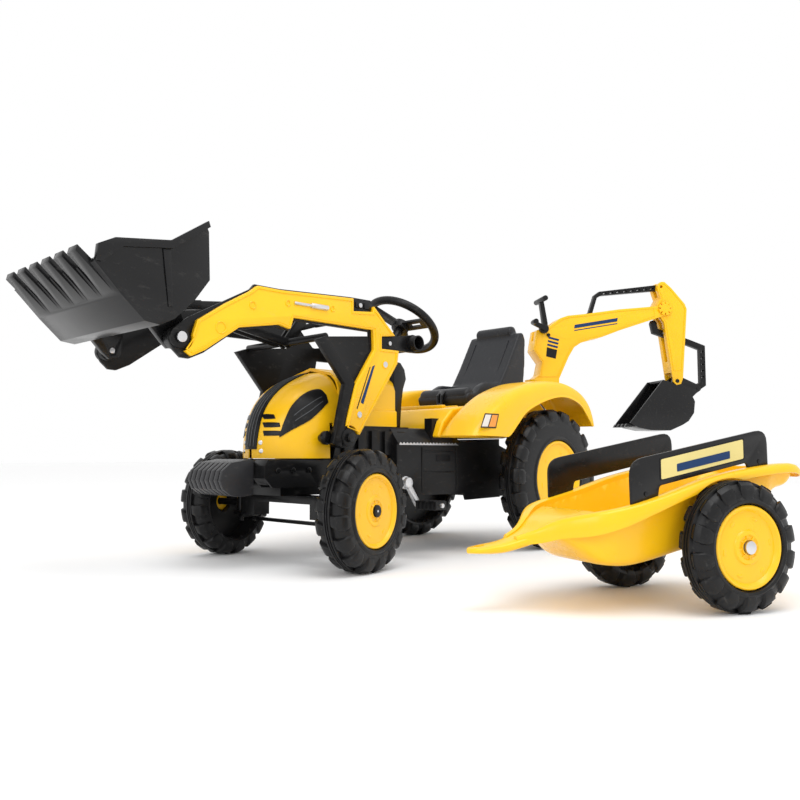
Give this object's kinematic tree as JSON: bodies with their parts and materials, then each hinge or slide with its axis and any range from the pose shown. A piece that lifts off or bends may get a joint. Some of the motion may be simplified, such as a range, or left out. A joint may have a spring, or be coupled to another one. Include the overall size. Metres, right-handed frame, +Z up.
{
  "type": "pedal tractor with loader, digger and trailer",
  "caption": "Child's yellow and black pedal tractor with a raised front loader bucket, a lever-worked rear digger arm, a moulded seat and a two-wheel tub trailer standing beside it.",
  "frame": {"origin": "on the ground under the middle of the whole set's box", "axes": "+X is the tractor's forward direction and the longest extent, +Y its left side where the trailer stands, +Z up"},
  "size_m": [1.9822, 1.262, 0.774],
  "materials": {
    "yellow_plastic": "satin moulded",
    "black_plastic": "fine grained moulded",
    "grey_plastic": "satin moulded",
    "tyre_plastic": "moulded with tread blocks",
    "steel": "zinc plated"
  },
  "bodies": {
    "tractor": {"chassis": "black_plastic", "front_carrier": "black_plastic", "front_weight": "grey_plastic", "front_axle_beam": "black_plastic", "frame_bolts": "steel", "hood": "yellow_plastic", "grille_inserts": "black_plastic", "cowl": "yellow_plastic", "dash_panel": "black_plastic", "fender_unit": "yellow_plastic", "seat": "grey_plastic", "seat_strap": "black_plastic", "loader_pins": "steel", "drive_chain": "steel", "digger_post": "black_plastic", "hitch_bracket": "black_plastic"},
    "crank": {"crank": "steel", "chainring": "steel"},
    "left_pedal": {"pedal_left": "black_plastic"},
    "right_pedal": {"pedal_right": "black_plastic"},
    "rear_wheels": {"rear_axle": "steel", "rear_sprocket": "steel", "rear_tyre_left": "tyre_plastic", "rear_tyre_right": "tyre_plastic", "rear_rim_left": "yellow_plastic", "rear_rim_right": "yellow_plastic"},
    "steering": {"steering_wheel": "black_plastic", "steering_shaft": "black_plastic"},
    "left_knuckle": {"knuckle_left": "black_plastic"},
    "right_knuckle": {"knuckle_right": "black_plastic"},
    "steering_rod": {"tie_rod": "black_plastic"},
    "front_left_wheel": {"front_tyre_left": "tyre_plastic", "front_rim_left": "yellow_plastic"},
    "front_right_wheel": {"front_tyre_right": "tyre_plastic", "front_rim_right": "yellow_plastic"},
    "loader": {"loader_frame": "black_plastic", "loader_cover_left": "yellow_plastic", "loader_cover_right": "yellow_plastic", "loader_tubes": "black_plastic", "loader_bolts": "steel"},
    "loader_scoop": {"loader_bucket": "black_plastic"},
    "tilt_handle": {"tilt_lever": "black_plastic"},
    "tilt_link": {"tilt_rod": "black_plastic"},
    "boom": {"digger_boom": "yellow_plastic"},
    "stick": {"digger_stick": "yellow_plastic", "stick_caps": "yellow_plastic"},
    "stick_handle": {"stick_lever": "black_plastic"},
    "upper_link": {"stick_link": "black_plastic"},
    "bucket_handle": {"bucket_lever": "black_plastic"},
    "lower_link": {"bucket_link": "black_plastic"},
    "digger_scoop": {"digger_bucket": "black_plastic"},
    "trailer": {"trailer_tub": "yellow_plastic", "trailer_panels": "black_plastic", "trailer_axle": "steel"},
    "trailer_left_wheel": {"trailer_tyre_left": "tyre_plastic", "trailer_rim_left": "yellow_plastic"},
    "trailer_right_wheel": {"trailer_tyre_right": "tyre_plastic", "trailer_rim_right": "yellow_plastic"}
  },
  "joints": [
    {"name": "rear_axle_spin", "type": "hinge", "parent": "tractor", "child": "rear_wheels", "pos_m": [-0.24788, -0.34517, 0.177], "axis": [0, 1, 0], "continuous": true},
    {"name": "crank_spin", "type": "hinge", "parent": "tractor", "child": "crank", "pos_m": [0.19012, -0.34517, 0.174], "axis": [0, 1, 0], "continuous": true},
    {"name": "left_pedal_spin", "type": "hinge", "parent": "crank", "child": "left_pedal", "pos_m": [0.15412, -0.14917, 0.1235], "axis": [0, 1, 0], "continuous": true},
    {"name": "right_pedal_spin", "type": "hinge", "parent": "crank", "child": "right_pedal", "pos_m": [0.22612, -0.54117, 0.2245], "axis": [0, 1, 0], "continuous": true},
    {"name": "steer_left", "type": "hinge", "parent": "tractor", "child": "left_knuckle", "pos_m": [0.41612, -0.16517, 0.125], "axis": [0, 0, 1], "range_deg": [-31, 16]},
    {"name": "steer_right", "type": "hinge", "parent": "tractor", "child": "right_knuckle", "pos_m": [0.41612, -0.52517, 0.125], "axis": [0, 0, 1], "range_deg": [-31, 16]},
    {"name": "steering_rod_slide", "type": "slide", "parent": "tractor", "child": "steering_rod", "axis": [0, -1, 0], "range_m": [-0.0249, 0.0135]},
    {"name": "steering_turn", "type": "hinge", "parent": "tractor", "child": "steering", "pos_m": [0.04812, -0.34517, 0.57], "axis": [-0.6018, 0, 0.7986], "range_deg": [-64, 34]},
    {"name": "front_left_spin", "type": "hinge", "parent": "left_knuckle", "child": "front_left_wheel", "pos_m": [0.4054, -0.11429, 0.125], "axis": [-0.2062, 0.9785, 0], "continuous": true},
    {"name": "front_right_spin", "type": "hinge", "parent": "right_knuckle", "child": "front_right_wheel", "pos_m": [0.42684, -0.57605, 0.125], "axis": [-0.2062, 0.9785, 0], "continuous": true},
    {"name": "loader_lift", "type": "hinge", "parent": "tractor", "child": "loader", "pos_m": [0.37412, -0.34517, 0.275], "axis": [0, 1, 0], "range_deg": [0, 43]},
    {"name": "bucket_tilt", "type": "hinge", "parent": "loader", "child": "loader_scoop", "pos_m": [0.78912, -0.34517, 0.452], "axis": [0, 1, 0], "range_deg": [0, 60]},
    {"name": "tilt_handle_swing", "type": "hinge", "parent": "loader", "child": "tilt_handle", "pos_m": [0.42812, -0.34517, 0.49], "axis": [0, 1, 0], "range_deg": [-1, 61]},
    {"name": "tilt_link_swing", "type": "hinge", "parent": "tilt_handle", "child": "tilt_link", "pos_m": [0.36012, -0.34517, 0.578], "axis": [0, 1, 0], "range_deg": [-61, 1]},
    {"name": "digger_swing", "type": "hinge", "parent": "tractor", "child": "boom", "pos_m": [-0.54388, -0.34517, 0.44], "axis": [0, 0, 1], "range_deg": [-25, 96]},
    {"name": "stick_swing", "type": "hinge", "parent": "boom", "child": "stick", "pos_m": [-0.87153, -0.10712, 0.689], "axis": [-0.5878, -0.809, 0], "range_deg": [-45, 16]},
    {"name": "stick_handle_swing", "type": "hinge", "parent": "boom", "child": "stick_handle", "pos_m": [-0.56815, -0.32754, 0.6], "axis": [-0.5878, -0.809, 0], "range_deg": [-24, 12]},
    {"name": "upper_link_swing", "type": "hinge", "parent": "stick", "child": "upper_link", "pos_m": [-0.86587, -0.11123, 0.759], "axis": [-0.5878, -0.809, 0], "range_deg": [-21, 46]},
    {"name": "digger_bucket_swing", "type": "hinge", "parent": "stick", "child": "digger_scoop", "pos_m": [-0.90228, -0.08478, 0.465], "axis": [-0.5878, -0.809, 0], "range_deg": [-12, 30]},
    {"name": "bucket_handle_swing", "type": "hinge", "parent": "boom", "child": "bucket_handle", "pos_m": [-0.55521, -0.33694, 0.618], "axis": [-0.5878, -0.809, 0], "range_deg": [-16, 31]},
    {"name": "lower_link_swing", "type": "hinge", "parent": "digger_scoop", "child": "lower_link", "pos_m": [-0.95891, -0.04364, 0.443], "axis": [-0.5878, -0.809, 0], "range_deg": [-31, 16]},
    {"name": "trailer_roll", "type": "slide", "parent": "tractor", "child": "trailer", "axis": [-0.9239, 0.3827, 0], "range_m": [0, 0.8]},
    {"name": "trailer_left_spin", "type": "hinge", "parent": "trailer", "child": "trailer_left_wheel", "pos_m": [0.2744, 0.57863, 0.1], "axis": [0.3827, 0.9239, 0], "continuous": true},
    {"name": "trailer_right_spin", "type": "hinge", "parent": "trailer", "child": "trailer_right_wheel", "pos_m": [0.17184, 0.33103, 0.1], "axis": [0.3827, 0.9239, 0], "continuous": true}
  ],
  "couplings": [
    {"joint": "crank_spin", "follows": "rear_axle_spin", "ratio": 0.7778},
    {"joint": "steer_right", "follows": "steer_left", "ratio": 1},
    {"joint": "steering_rod_slide", "follows": "steer_left", "m_per_rad": 0.0437},
    {"joint": "steering_turn", "follows": "steer_left", "ratio": 2},
    {"joint": "tilt_handle_swing", "follows": "bucket_tilt", "ratio": 1},
    {"joint": "tilt_link_swing", "follows": "bucket_tilt", "ratio": -1},
    {"joint": "stick_handle_swing", "follows": "stick_swing", "ratio": 0.5},
    {"joint": "upper_link_swing", "follows": "stick_swing", "ratio": -1},
    {"joint": "bucket_handle_swing", "follows": "digger_bucket_swing", "ratio": 1},
    {"joint": "lower_link_swing", "follows": "digger_bucket_swing", "ratio": -1}
  ]
}
